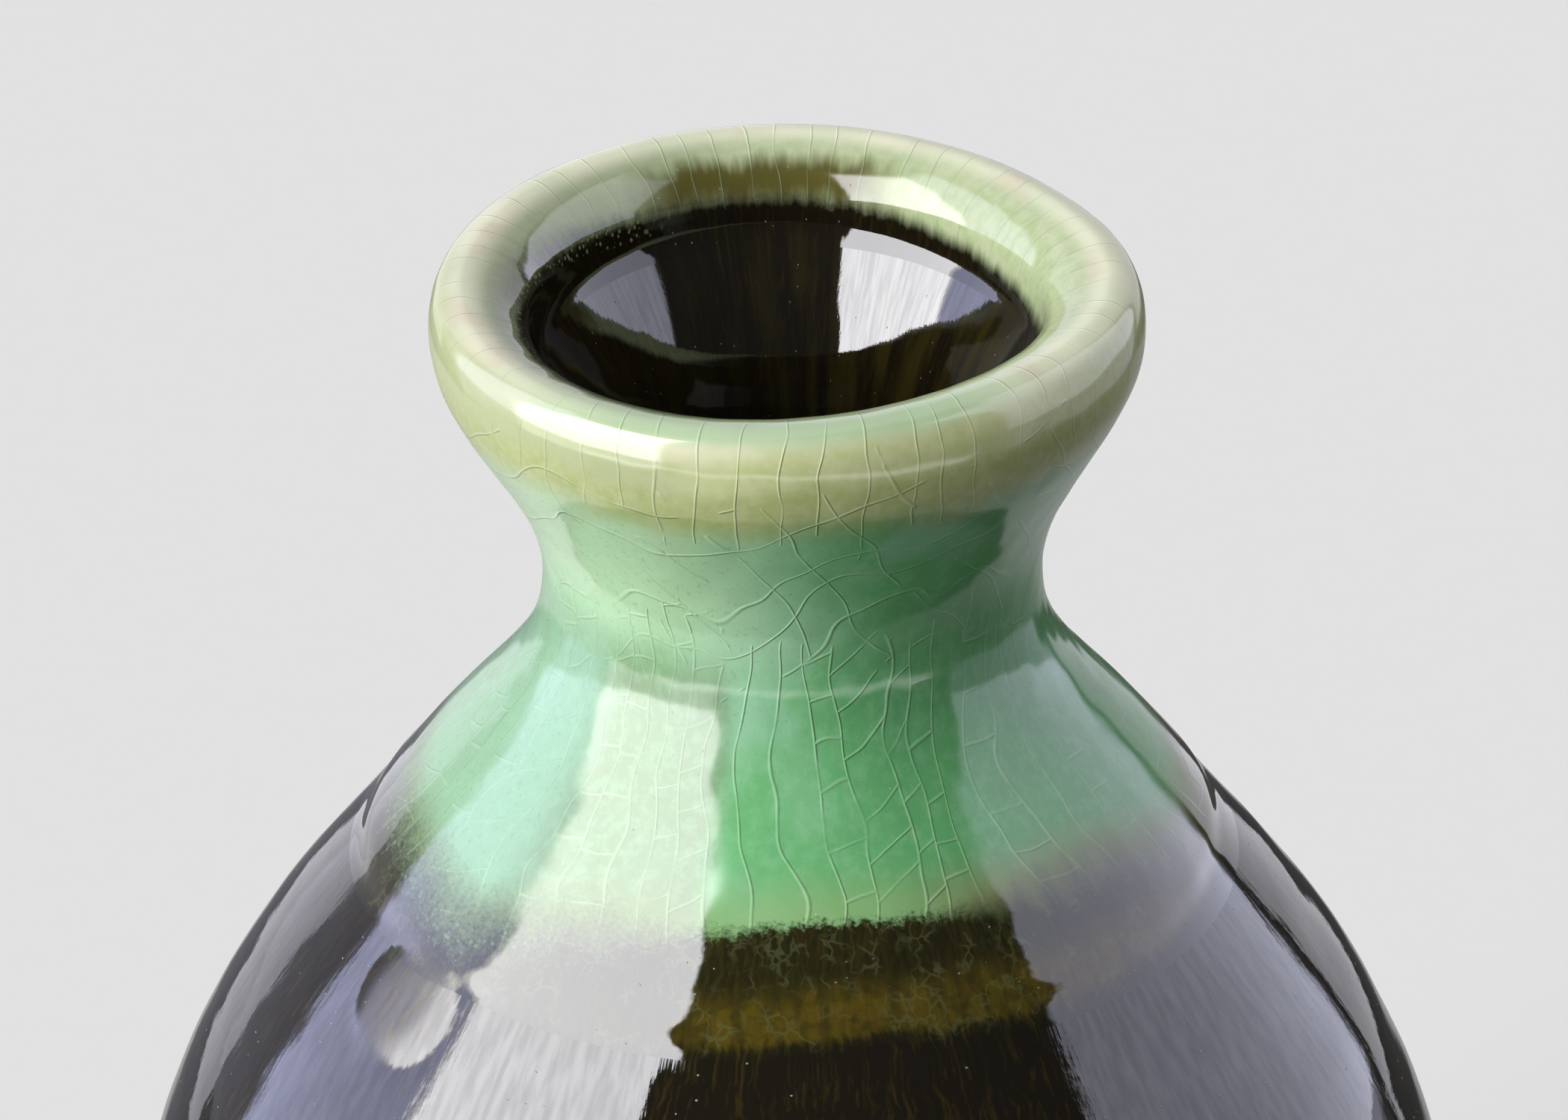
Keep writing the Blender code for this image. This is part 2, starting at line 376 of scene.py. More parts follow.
def swelling(radius, height, azimuth, middle, level, top, foot):
    """A round swelling's share of its full height, 0 outside its foot and 1 on its top."""
    across = np.radians(azimuth - middle)[:, None] * radius
    off = np.hypot(across, (height - level * MM) * SWELLING_STRETCH) / MM
    return smooth(-off, -foot, -top)


def satin(radius, height, azimuth):
    """How much rougher the glaze is where it is stretched over a swelling."""
    rougher = np.zeros_like(radius)
    for middle, level, _, top, foot, roughness in SWELLINGS:
        rougher += roughness * swelling(radius, height, azimuth, middle, level, top, foot)
    return rougher


def inside_rows(node, height, shown):
    """Which rows of a fine surface belong to the inside of the wall."""
    rows = np.arange(height.shape[1])
    level = height.mean(axis=0)
    if node == "green_glaze":
        shown_crest = np.where(shown, level, -1).argmax()
        hidden_crest = np.where(shown, -1, level).argmax()
        return (rows > shown_crest) & (rows < hidden_crest)
    if node == "clay_body":
        return rows < level.argmax()
    return np.full(len(rows), node == "inner_iron_glaze")


def skin_tables(surfaces):
    """Skin length in millimetres by height, as {inside or not: (height, length)}, from the rows that show."""
    runs = {}
    for node, (radius, height, shown, _) in surfaces.items():
        level = height.mean(axis=0)[shown]
        runs[node] = level, lengths(radius.mean(axis=0)[shown], level) / MM
    green_z, green_s = runs["green_glaze"]
    outer_z, outer_s = runs["outer_iron_glaze"]
    inner_z, inner_s = runs["inner_iron_glaze"]
    crest = green_z.argmax()
    to_outer = green_s[crest] + outer_s[-1]
    to_inner = green_s[crest] - green_s[-1] - inner_s[-1]
    down_z = np.concatenate([green_z[crest::-1], outer_z[::-1]])
    down_s = np.concatenate([green_s[crest] - green_s[crest::-1], to_outer - outer_s[::-1]])
    into_z = np.concatenate([green_z[crest:], inner_z[::-1]])
    into_s = np.concatenate([green_s[crest] - green_s[crest:], to_inner + inner_s[::-1]])
    return {False: (down_z, down_s), True: (into_z, into_s)}


def skin_length(level, inside, tables):
    """Skin length in millimetres of every row of a fine surface, from the rows' mean heights."""
    found = np.empty_like(level)
    for side, (height, length) in tables.items():
        rows = inside == side
        found[rows] = np.interp(-level[rows], -height, length)
    return found


def unevenness(azimuth, skin):
    """A gentle unevenness of the melted glaze, about -1 to 1, that closes round the bottle."""
    draw = np.random.default_rng(UNEVEN_SEED)
    turn = np.radians(azimuth)[:, None]
    total = np.zeros_like(skin)
    for _ in range(UNEVEN_WAVES):
        length = draw.uniform(*UNEVEN_LENGTH)
        way = draw.uniform(0, math.tau)
        phase = draw.uniform(0, math.tau)
        round_it = round(math.cos(way) * math.tau * MAP_RADIUS / length)
        total += np.sin(round_it * turn + math.sin(way) * math.tau * skin / length + phase)
    return total / math.sqrt(UNEVEN_WAVES)


def relief(node, azimuth, skin, height):
    """How far the glaze stands out from the frame's skin: unevenness, and the coats' rounded edges."""
    if node == "clay_body":
        return np.zeros_like(skin)
    calm = CALM_INSIDE + (1 - CALM_INSIDE) * smooth(skin, *CALM_FADE)
    proud = UNEVEN_DEPTH * (unevenness(azimuth, skin) - 1) * calm
    if node == "green_glaze":
        above_hem = ring_curve(HEM, azimuth)[:, None] - skin
        proud = proud * smooth(above_hem, *GREEN_FADE_OUTSIDE) * smooth(skin, *GREEN_FADE_INSIDE)
        proud += HEM_STEP * smooth(above_hem, 0, HEM_ROLL) * smooth(skin, *HEM_FADE)
    if node == "outer_iron_glaze":
        turn = np.radians(azimuth)[:, None]
        thickness = 1 + 0.5 * np.sin(3 * turn + 0.7) * np.cos(5 * turn)
        roll = np.exp(-(((height - FOOT_ROLL_Z) / FOOT_ROLL_SPREAD) ** 2))
        proud = proud * smooth(skin, *IRON_FADE) + FOOT_ROLL * thickness * roll
    return proud


def outward(radius, height, closed):
    """The way out of the piece at each point, as its share in radius and in height."""
    out_r, out_z = np.gradient(height, axis=1), -np.gradient(radius, axis=1)
    if not closed:
        out_r, out_z = -out_r, -out_z
    size = np.hypot(out_r, out_z) + TINY
    return out_r / size, out_z / size


def wrapped(radius, height, azimuth):
    """Places [column, row] at these radii and heights round the axis."""
    turn = np.radians(azimuth)[:, None]
    return np.stack([radius * np.sin(turn), -radius * np.cos(turn), height], axis=-1)


def glaze_layout(azimuth, skin, inside):
    """How far each point is above the tide and the hem, and how soft the tide is there, in millimetres."""

    def round_bottle(points):
        return ring_curve(points, azimuth)[:, None]

    lining = skin < 0
    return {
        "tide": np.where(lining, skin - round_bottle(TIDE_INSIDE), round_bottle(TIDE_OUTSIDE) - skin),
        "blur": np.where(lining, round_bottle(BLUR_INSIDE), round_bottle(BLUR_OUTSIDE)),
        "hem": np.where(inside, NO_HEM, round_bottle(HEM) - skin),
    }


def grid_mesh(name, points, closed_outline):
    """A mesh over points [column, row], closed round the bottle, and along the outline if that is closed."""
    columns, rows = points.shape[:2]
    here = np.arange(columns * rows).reshape(columns, rows)
    there = np.roll(here, -1, axis=0)
    if closed_outline:
        up_here, up_there = np.roll(here, -1, axis=1), np.roll(there, -1, axis=1)
        quads = np.stack([here, there, up_there, up_here], axis=-1)
    else:
        quads = np.stack([here[:, 1:], there[:, 1:], there[:, :-1], here[:, :-1]], axis=-1)
    mesh = bpy.data.meshes.new(name)
    mesh.from_pydata(points.reshape(-1, 3), [], quads.reshape(-1, 4).tolist())
    return mesh


def weld_poles(mesh):
    """Joins each ring of points that lies on the axis into one."""
    welded = bmesh.new()
    welded.from_mesh(mesh)
    poles = [vertex for vertex in welded.verts if math.hypot(vertex.co.x, vertex.co.y) < WELD]
    bmesh.ops.remove_doubles(welded, verts=poles, dist=WELD)
    welded.to_mesh(mesh)
    welded.free()


def fine_piece(node, surface, tables, material):
    """Adds the fine piece that stands for a node, with what its glaze is laid out by, and its material."""
    radius, height, shown, closed = surface
    azimuth = azimuths(COLUMNS[node])
    inside = inside_rows(node, height, shown)
    skin = skin_length(height.mean(axis=0), inside, tables)[None, :] + np.zeros_like(height)

    out_r, out_z = outward(radius, height, closed)
    proud = relief(node, azimuth, skin, height) * shown
    radius = np.clip(thrown(radius, height, azimuth) + proud * out_r, 0, CAD_HIGH.x)
    height = np.clip(height + proud * out_z, CAD_LOW.z, CAD_HIGH.z)
    mesh = grid_mesh(node, wrapped(radius, height, azimuth), closed)

    glaze_map = wrapped(np.full_like(skin, MAP_RADIUS), skin, azimuth)
    mesh.attributes.new("glaze_map", "FLOAT_VECTOR", "POINT").data.foreach_set("vector", glaze_map.ravel())
    layout = glaze_layout(azimuth, skin, inside)
    layout["satin"] = satin(radius, height, azimuth) * ~inside
    for name, values in layout.items():
        mesh.attributes.new(name, "FLOAT", "POINT").data.foreach_set("value", values.ravel())

    if not closed:
        weld_poles(mesh)
    mesh.shade_smooth()
    mesh.set_sharp_from_angle(angle=CORNER)
    mesh.materials.append(material)
    piece = bpy.data.objects.new("fine_" + node, mesh)
    bpy.context.scene.collection.objects.link(piece)
    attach(piece, "root")
    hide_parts(node)


# ---------------------------------------------------------------- shader graphs


class Graph:
    """The nodes of one material or world, added and wired one call at a time."""

    def __init__(self, tree):
        self.tree = tree
        tree.nodes.clear()

    def node(self, kind, inputs=None, **settings):
        made = self.tree.nodes.new(kind)
        for name, value in settings.items():
            setattr(made, name, value)
        for name, value in (inputs or {}).items():
            if isinstance(value, bpy.types.NodeSocket):
                self.tree.links.new(value, made.inputs[name])
            else:
                made.inputs[name].default_value = value
        return made

    def math(self, operation, a, b=0.0):
        return self.node("ShaderNodeMath", {0: a, 1: b}, operation=operation).outputs[0]

    def times(self, product, *factors):
        for factor in factors:
            product = self.math("MULTIPLY", product, factor)
        return product

    def plus(self, total, *others):
        for other in others:
            total = self.math("ADD", total, other)
        return total

    def minus(self, a, b):
        return self.math("SUBTRACT", a, b)

    def larger(self, a, b):
        return self.math("MAXIMUM", a, b)

    def vector(self, operation, a, b):
        return self.node("ShaderNodeVectorMath", {0: a, 1: b}, operation=operation).outputs[0]

    def parts(self, vector):
        """The X, Y and Z of a vector."""
        return self.node("ShaderNodeSeparateXYZ", {0: vector}).outputs

    def grey(self, value):
        return self.node("ShaderNodeCombineXYZ", {0: value, 1: value, 2: value}).outputs[0]

    def span(self, value, low, high, to_low=0.0, to_high=1.0):
        """The value carried smoothly from (low, high) to (to_low, to_high), and held beyond them."""
        inputs = {"Value": value, "From Min": low, "From Max": high, "To Min": to_low, "To Max": to_high}
        return self.node("ShaderNodeMapRange", inputs, interpolation_type="SMOOTHSTEP").outputs["Result"]

    def mix(self, share, a, b):
        """Colour a turning into colour b."""
        return self.node("ShaderNodeMix", {0: share, 6: a, 7: b}, data_type="RGBA").outputs[2]

    def noise(self, place, scale, detail=2.0, roughness=0.5, output="Fac"):
        inputs = {"Vector": place, "Scale": scale, "Detail": detail, "Roughness": roughness}
        return self.node("ShaderNodeTexNoise", inputs).outputs[output]

    def swing(self, noise, reach):
        """Noise moved to lie about zero, and drawn out to a reach."""
        return self.times(self.minus(noise, 0.5), reach)

    def cells(self, place, feature="F1"):
        inputs = {"Vector": place, "Scale": 1.0, "Randomness": 1.0}
        return self.node("ShaderNodeTexVoronoi", inputs, feature=feature).outputs

    def attribute(self, name, output="Fac"):
        return self.node("ShaderNodeAttribute", attribute_name=name).outputs[output]

    def bump(self, height, strength=1.0):
        """The normal of a surface with this height in millimetres."""
        inputs = {"Strength": strength, "Distance": MM, "Height": height}
        return self.node("ShaderNodeBump", inputs).outputs[0]

    def finish(self, inputs):
        shader = self.node("ShaderNodeBsdfPrincipled", inputs)
        self.node("ShaderNodeOutputMaterial", {"Surface": shader.outputs[0]})


def new_material(name):
    material = bpy.data.materials.new(name)
    material.use_nodes = True
    return material, Graph(material.node_tree)


# ---------------------------------------------------------------- glazes
#
# A glaze's place is on the glaze map: X to the right, Y to the back, Z the skin length, all in millimetres.
# Sizes below are in millimetres, and a noise's scale is in waves per millimetre.


def glaze_places(g):
    """What every glaze is laid out by: the glaze map, the skin length, and the height above the hem."""
    place = g.attribute("glaze_map", "Vector")
    return place, g.parts(place)["Z"], g.attribute("hem")


def warped(g, place, scale, reach):
    """The place pushed about by noise, so that what is drawn on it wanders."""
    push = g.vector("SUBTRACT", g.noise(place, scale, output="Color"), (0.5, 0.5, 0.5))
    return g.vector("ADD", place, g.vector("MULTIPLY", push, (reach, reach, reach)))


def wander(g, place, way, scale, reach):
    """A way pushed about by noise, so that the lines across it wander."""
    return g.plus(way, g.swing(g.noise(place, scale), reach))


def streaks(g, place, across, along, detail=3.0):
    """Noise drawn out down the wall, where the glaze ran."""
    return g.noise(g.vector("MULTIPLY", place, (1 / across, 1 / across, 1 / along)), 1.0, detail)


def bubbles(g, place):
    """Pinpoint bubbles in the glaze, 1 on one."""
    speck = g.cells(g.vector("MULTIPLY", place, (BUBBLES_PER_MM,) * 3))
    chosen = g.span(g.node("ShaderNodeSeparateColor", {0: speck["Color"]}).outputs["Red"], 0.74, 0.76)
    return g.times(g.span(speck["Distance"], 0.10, 0.05), chosen)


def crack_lines(g, way, spacing, width):
    """Lines across a way, at about a spacing, and the red, green and blue of each gap between two of them."""
    inputs = {"W": g.math("DIVIDE", way, spacing), "Scale": 1.0, "Randomness": CRACK_UNEVENNESS}
    edge = g.node("ShaderNodeTexVoronoi", inputs, voronoi_dimensions="1D", feature="DISTANCE_TO_EDGE")
    gap = g.node("ShaderNodeTexVoronoi", inputs, voronoi_dimensions="1D", feature="F1")
    parts = g.node("ShaderNodeSeparateColor", {0: gap.outputs["Color"]}).outputs
    return g.span(edge.outputs["Distance"], width / spacing, 0.0), parts


def neck_cracks(g, place, skin, around):
    """Long curves that slope round the neck, and some steeper ones that cross them."""
    sloping = g.plus(skin, g.times(around, 0.22))
    curves, _ = crack_lines(g, wander(g, place, sloping, scale=0.06, reach=20.0), spacing=4.4, width=0.18)
    steep = g.minus(around, g.times(skin, 0.7))
    crossing, _ = crack_lines(g, wander(g, place, steep, scale=0.07, reach=10.0), spacing=4.6, width=0.18)
    kept = g.span(g.noise(place, 0.16, 0.0), 0.40, 0.43)
    return g.larger(curves, g.times(crossing, kept))


def shoulder_cracks(g, place, skin, around):
    """Uprights down the shoulder, and rungs between most of them, at a slant and height of their own."""
    upright = wander(g, place, around, scale=0.075, reach=8.5)
    uprights, gap = crack_lines(g, upright, spacing=2.3, width=0.15)
    slant = g.times(around, g.minus(g.times(gap["Blue"], 0.9), 0.2))
    level = g.plus(skin, slant, g.times(gap["Red"], 50.0))
    rungs, _ = crack_lines(g, wander(g, place, level, scale=0.12, reach=3.0), spacing=3.1, width=0.16)
    return g.larger(uprights, g.times(rungs, g.span(gap["Green"], 0.33, 0.37)))


def crackle(g, place, skin):
    """The green glaze's crackle, 1 on a line: radial on the lip, long curves on the neck, a ladder below."""
    parts = g.parts(place)
    around = g.times(g.math("ARCTAN2", parts["X"], g.times(parts["Y"], -1.0)), MAP_RADIUS)
    radial, _ = crack_lines(g, wander(g, place, around, scale=0.12, reach=3.0), spacing=2.3, width=0.10)
    at = wander(g, place, skin, scale=0.30, reach=16.0)
    lip = g.times(radial, g.span(at, 9.0, 8.0, 0.0, 0.75))
    neck = g.times(neck_cracks(g, place, skin, around), g.span(at, 5.0, 6.0), g.span(at, 22.0, 21.0))
    shoulder = g.times(shoulder_cracks(g, place, skin, around), g.span(at, 18.0, 19.0))
    faint = g.span(g.noise(place, 0.25, 1.0), 0.30, 0.55, 0.25, 1.0)
    return g.times(g.larger(lip, g.larger(neck, shoulder)), faint)


def black_glaze(g, place, fur):
    """Black with brown threads, browner in the throat and towards its right."""
    parts = g.parts(place)
    threads = g.times(g.span(fur, 0.50, 0.75), g.span(parts["Z"], -3.0, 3.0, 0.6, 1.0))
    black = g.mix(threads, IRON_BLACK, IRON_THREAD)
    throat = g.times(g.span(parts["Z"], -6.0, -9.0), g.span(parts["X"], -8.0, 8.0, 0.2, 1.0))
    throat = g.times(throat, g.span(streaks(g, place, across=2.0, along=8.0), 0.36, 0.66))
    return g.mix(throat, black, THROAT_BROWN)


def amber_share(g, place, wavy):
    """How amber the iron glaze is, by its height above the hem: a mottled band that fades out to the left."""
    band = g.times(g.span(wavy, -0.3, 0.6), g.span(wavy, 4.2, 1.4))
    band = g.times(band, g.span(g.parts(place)["X"], -7.0, -3.0, 0.15, 1.0))
    band = g.times(band, g.span(streaks(g, place, across=0.6, along=3.0), 0.36, 0.62, 0.55, 1.15))
    return g.times(band, g.span(g.noise(place, 1.8, 3.0), 0.36, 0.60, 0.65, 1.10))


def veins(g, place):
    """Thin wriggling veins, in patches, 1 on one."""
    wriggling = g.vector("MULTIPLY", warped(g, place, scale=0.8, reach=1.8), (1.25, 1.25, 0.8))
    line = g.span(g.cells(wriggling, "DISTANCE_TO_EDGE")["Distance"], 0.13, 0.0)
    return g.times(line, g.span(g.noise(place, 0.6, 2.0), 0.44, 0.62))


def iron_colour(g, place, hem):
    """Black iron glaze with brown fur, brown and amber in the band between its hem and the green."""
    fur = streaks(g, warped(g, place, scale=0.5, reach=0.8), across=0.26, along=2.6)
    wavy = g.plus(hem, g.swing(g.noise(place, 0.35, 2.0), 1.2), g.swing(fur, 1.2))
    brown = g.mix(amber_share(g, place, wavy), BAND_BROWN, BAND_AMBER)
    brown = g.mix(g.times(g.span(fur, 0.35, 0.75), 0.45), brown, BAND_FUR)
    brown = g.mix(g.times(veins(g, place), 0.30), brown, BAND_VEIN)
    return g.mix(g.span(wavy, -0.8, 0.2), black_glaze(g, place, fur), brown)


def under_key_reflection(g, place):
    """Where the key panel's reflection lies on the front left of the shoulder, darkened there as painted
    shade.
    """
    return g.span(g.parts(place)["X"], -4.0, -6.2)


def neck_and_shoulder_green(g, place, skin, cloud, mottle):
    """The green of the neck and shoulder, speckled and milky far to the left. Painted shade deepens it to the
    right and darkens it under the key panel's reflection, and painted light makes the neck paler to the left.
    """
    way = g.parts(place)
    # Painted shade: the shoulder is deeper green to the right, away from the key light.
    shaded_right = g.times(g.span(way["X"], 0.0, 8.0), g.span(skin, 15.0, 22.0))
    deep = g.span(g.plus(cloud, g.times(shaded_right, 0.3)), 0.35, 0.70)
    green = g.mix(deep, GREEN_LIGHT, GREEN_DEEP)
    green = g.mix(g.times(shaded_right, 0.45), green, GREEN_SHADED_RIGHT)
    # Painted light: the neck is paler to the left, where the key light falls.
    pale = g.times(g.span(way["X"], 5.0, -12.0), g.span(skin, 25.0, 15.0))
    green = g.mix(pale, green, GREEN_LIT_LEFT)
    low = g.span(skin, 19.0, 24.0)
    # Painted shade: darker under the key panel's reflection on the front left of the shoulder.
    green = g.mix(g.times(under_key_reflection(g, place), low, 0.8), green, GREEN_REFLECTION_SHADE)
    green = g.mix(g.times(g.span(way["X"], -13.0, -16.0), low, 0.7), green, GREEN_MILKY)
    green = g.mix(g.times(g.span(mottle, 0.4, 0.7), 0.22), green, GREEN_MOTTLE)
    speckle = g.span(g.noise(place, 2.6, 2.0, 0.7), 0.56, 0.70)
    return g.mix(g.times(speckle, 0.30), green, GREEN_SPECKLE)


def lip_colour(g, place, skin, green, cloud, mottle):
    """The lip over the green: olive at the neck, then yellower, cream on the crest, a green pool in front.
    Its outer face and crest are darker on the left, painted shade.
    """
    way = g.parts(place)
    wavy = g.plus(skin, g.swing(g.noise(place, 0.12), 4.0))
    olive = g.mix(g.span(mottle, 0.3, 0.7), OLIVE_DARK, OLIVE_LIGHT)
    outer = g.mix(g.span(mottle, 0.3, 0.7), OUTER_DARK, OUTER_LIGHT)
    # Painted shade: the outer face is darker on the left, toning down the key light there.
    outer = g.mix(g.times(g.span(way["X"], -3.0, -9.0), 0.7), outer, OUTER_SHADED_LEFT)
    cream = g.mix(g.span(cloud, 0.3, 0.7), CREAM, CREAM_GREEN)
    cream = g.mix(g.times(g.span(g.noise(place, 0.25, 3.0), 0.5, 0.66), 0.6), cream, CREAM_BROWN)
    # Painted shade: the crest is darker on the left, toning down the key light's highlight there.
    left = g.times(g.span(way["X"], -10.0, -16.0), g.span(skin, 0.0, 1.5, 0.0, 0.7))
    cream = g.mix(left, cream, CREAM_SHADED_LEFT)
    colour = g.mix(g.span(wavy, 9.8, 6.2), green, olive)
    colour = g.mix(g.span(wavy, 5.6, 3.6), colour, outer)
    colour = g.mix(g.span(wavy, 2.8, 0.6), colour, cream)
    pool = g.times(g.span(way["Y"], -10.0, -19.0), g.span(skin, 2.2, 1.0), 0.8)
    return g.mix(pool, colour, LIP_POOL)


def mouth_colour(g, place, skin, colour, mottle):
    """Inside the mouth: olive green, darker to the left in painted shade, with a brushed brown band at the
    back.
    """
    way = g.parts(place)
    inner = g.mix(g.span(mottle, 0.3, 0.7), INNER_DARK, INNER_LIGHT)
    # Painted shade: the inside is darker on the left.
    inner = g.mix(g.times(g.span(way["X"], -3.0, -9.0), 0.5), inner, INNER_SHADED_LEFT)
    colour = g.mix(g.span(skin, -0.3, -1.9), colour, inner)
    depth = g.plus(skin, g.swing(streaks(g, place, across=1.1, along=7.0), 2.2))
    band = g.times(g.span(depth, -1.8, -3.4), g.span(depth, -6.8, -4.0))
    behind = g.times(g.span(way["Y"], 9.0, 16.0), g.span(way["X"], 10.0, 4.0), g.span(way["X"], -13.0, -8.0))
    return g.mix(g.times(band, behind), colour, INNER_BROWN)


def green_colour(g, place, skin, tide, lines):
    """Green crackle glaze: cream where it is thin on the lip, olive below that, deep green in pools and in
    painted shade to the right, and painted shade at the tide under the key panel's reflection.
    """
    cloud = g.noise(warped(g, place, scale=0.3, reach=2.0), 0.13, 3.0)
    mottle = g.noise(place, 1.1, 4.0, 0.6)
    green = neck_and_shoulder_green(g, place, skin, cloud, mottle)
    colour = lip_colour(g, place, skin, green, cloud, mottle)
    colour = mouth_colour(g, place, skin, colour, mottle)
    thinned = g.times(g.span(tide, 4.0, 0.4), g.span(skin, 0.0, 6.0), 0.75)
    at_tide = g.mix(g.span(g.parts(place)["X"], 5.0, 11.0), TIDE_GREEN, TIDE_TAN)
    # Painted shade: the tide is darker under the key panel's reflection on the front left.
    at_tide = g.mix(under_key_reflection(g, place), at_tide, TIDE_REFLECTION_SHADE)
    return g.mix(g.times(lines, 0.26), g.mix(thinned, colour, at_tide), CRACK_PALE)


def iron_glaze():
    """Glossy black iron glaze, furred where it ran."""
    material, g = new_material("iron_glaze")
    place, skin, hem = glaze_places(g)
    fur = streaks(g, place, across=0.35, along=2.6, detail=4.0)
    bubble = bubbles(g, place)
    swell = g.times(g.noise(place, 0.7, 2.0), g.span(skin, 0.0, -4.0, 0.012, 0.003))
    grain = g.times(g.noise(place, 5.0, 2.0), 0.0012)
    ridges = g.times(fur, g.span(skin, 0.0, -6.0, 0.008, 0.001))
    height = g.plus(swell, grain, ridges, g.times(bubble, BUBBLE_HEIGHT))
    shine = g.times(g.span(fur, 0.30, 0.70, 0.44, 0.56), g.span(skin, 0.0, -6.0, 1.0, 1.28))
    g.finish(
        {
            "Base Color": g.mix(g.times(bubble, 0.5), iron_colour(g, place, hem), BUBBLE_GREY),
            "Roughness": g.plus(0.03, g.attribute("satin")),
            "IOR": GLAZE_IOR,
            "Specular IOR Level": shine,
            "Normal": g.bump(height),
        }
    )
    return material


def green_share(g, place, skin, tide):
    """1 on the green glaze and 0 past its tide, with a grainy, streaky edge and dots of green beyond it."""
    way = g.parts(place)
    blur = g.attribute("blur")
    grainy = g.times(g.span(skin, -1.0, 1.0, 0.25, 1.0), g.span(way["X"], 6.0, 11.0, 1.0, 0.15))
    grain = g.swing(g.noise(place, 3.4, 3.0, 0.7), g.times(grainy, g.plus(g.times(blur, 1.2), 1.3)))
    runny = g.larger(g.span(skin, -1.0, 0.0), g.span(way["Y"], -3.0, 8.0, 0.12, 1.0))
    sway = g.times(g.plus(g.times(blur, 0.6), 0.6), runny)
    run = g.swing(streaks(g, place, across=0.9, along=5.0), sway)
    share = g.span(g.math("DIVIDE", g.plus(tide, g.plus(grain, run)), blur), -0.7, 0.9)
    dots = g.span(g.cells(g.vector("MULTIPLY", place, (DOTS_PER_MM,) * 3))["Distance"], 0.36, 0.22)
    dotted = g.times(g.span(tide, -1.4, -1.1, 0.0, 0.55), g.span(way["X"], -9.0, -13.0))
    return g.larger(share, g.times(dots, dotted))


def green_glaze():
    """A crackled body under a smooth gloss coat. Past the tide, the body is the iron glaze below it."""
    material, g = new_material("green_glaze")
    place, skin, hem = glaze_places(g)
    tide = g.attribute("tide")
    lines = crackle(g, place, skin)
    is_green = green_share(g, place, skin, tide)
    bubble = bubbles(g, place)
    colour = g.mix(is_green, iron_colour(g, place, hem), green_colour(g, place, skin, tide, lines))
    swell = g.times(g.noise(place, 0.7, 2.0), g.span(tide, 1.0, -1.0, 0.005, 0.012))
    g.finish(
        {
            "Base Color": g.mix(g.times(bubble, 0.35), colour, BUBBLE_GREY),
            "Roughness": 0.05,
            "IOR": GLAZE_IOR,
            "Specular IOR Level": g.span(is_green, 0.0, 1.0, 0.08, 0.0),
            "Normal": g.bump(g.times(lines, is_green, 0.055)),
            "Coat Weight": 0.84,
            "Coat IOR": GLAZE_IOR,
            "Coat Roughness": g.plus(g.span(tide, -0.5, 2.0, 0.03, 0.12), g.attribute("satin")),
            "Coat Normal": g.bump(g.plus(swell, g.times(bubble, BUBBLE_HEIGHT))),
        }
    )
    return material


def stoneware():
    """Bare sandy clay, with dark grit. Its places are in metres."""
    material, g = new_material("stoneware")
    place = g.node("ShaderNodeTexCoord").outputs["Object"]
    fine = g.noise(place, 2600.0, 4.0, 0.65)
    colour = g.mix(g.span(g.noise(place, 130.0, 3.0), 0.3, 0.7), CLAY_SAND, CLAY_BROWN)
    colour = g.mix(g.times(g.span(fine, 0.45, 0.7), 0.5), colour, CLAY_PALE)
    grit = g.span(g.cells(g.vector("MULTIPLY", place, (GRIT_PER_METRE,) * 3))["Distance"], 0.22, 0.12)
    colour = g.mix(g.times(grit, 0.8), colour, CLAY_GRIT)
    height = g.minus(g.times(fine, 0.10), g.times(grit, 0.04))
    g.finish({"Base Color": colour, "Roughness": 0.85, "Normal": g.bump(height, 0.8)})
    return material


# ---------------------------------------------------------------- studio


def ring(g, azimuth, stops, brightest):
    """Radiance by azimuth through (azimuth, colour) stops."""
    band = g.node("ShaderNodeValToRGB", {"Fac": g.plus(g.math("DIVIDE", azimuth, 360.0), 0.5)})
    ramp = band.color_ramp
    for place, colour in stops:
        ramp.elements.new(place / 360 + 0.5).color = rgb(*[part / brightest for part in colour])
    ramp.elements.remove(ramp.elements[0])
    ramp.elements.remove(ramp.elements[-1])
    return g.vector("MULTIPLY", band.outputs["Color"], (brightest,) * 3)


def panel_stops():
    """The panels' colours at both ends of each, with a narrow gap where the next takes over."""
    stops = []
    for (edge, colour), (next_edge, _) in zip(PANELS, PANELS[1:] + ((180.0, None),)):
        stops += [(edge + EDGE_BLUR / 2, colour), (next_edge - EDGE_BLUR / 2, colour)]
    return stops


def past(g, value, place, blur=EDGE_BLUR, before=0.0):
    """1 where a value is past a place, after a soft edge."""
    return g.span(value, place - blur / 2, place + blur / 2, before, 1.0)


def panels_seen(g, azimuth, elevation):
    """The ring of panels, with some of their light spilled on the wall below them."""
    shown = past(g, elevation, PANEL_FOOT, before=PANEL_SPILL)
    shown = g.times(shown, past(g, elevation, SPILL_FOOT))
    shown = g.times(shown, g.span(elevation, PANEL_TOP, PANEL_TOP - PANEL_TOP_BLUR))
    return g.vector("MULTIPLY", ring(g, azimuth, panel_stops(), BRIGHTEST_PANEL), g.grey(shown))


def backdrop_seen(g, azimuth, elevation):
    """The pale backdrop behind the bottle, as its edges mirror it."""
    turned = g.math("ABSOLUTE", g.minus(azimuth, BACKDROP_TURN))
    behind = g.times(past(g, turned, BACKDROP_FROM), past(g, elevation, BACKDROP_FOOT))
    return g.vector("MULTIPLY", g.grey(behind), BACKDROP)


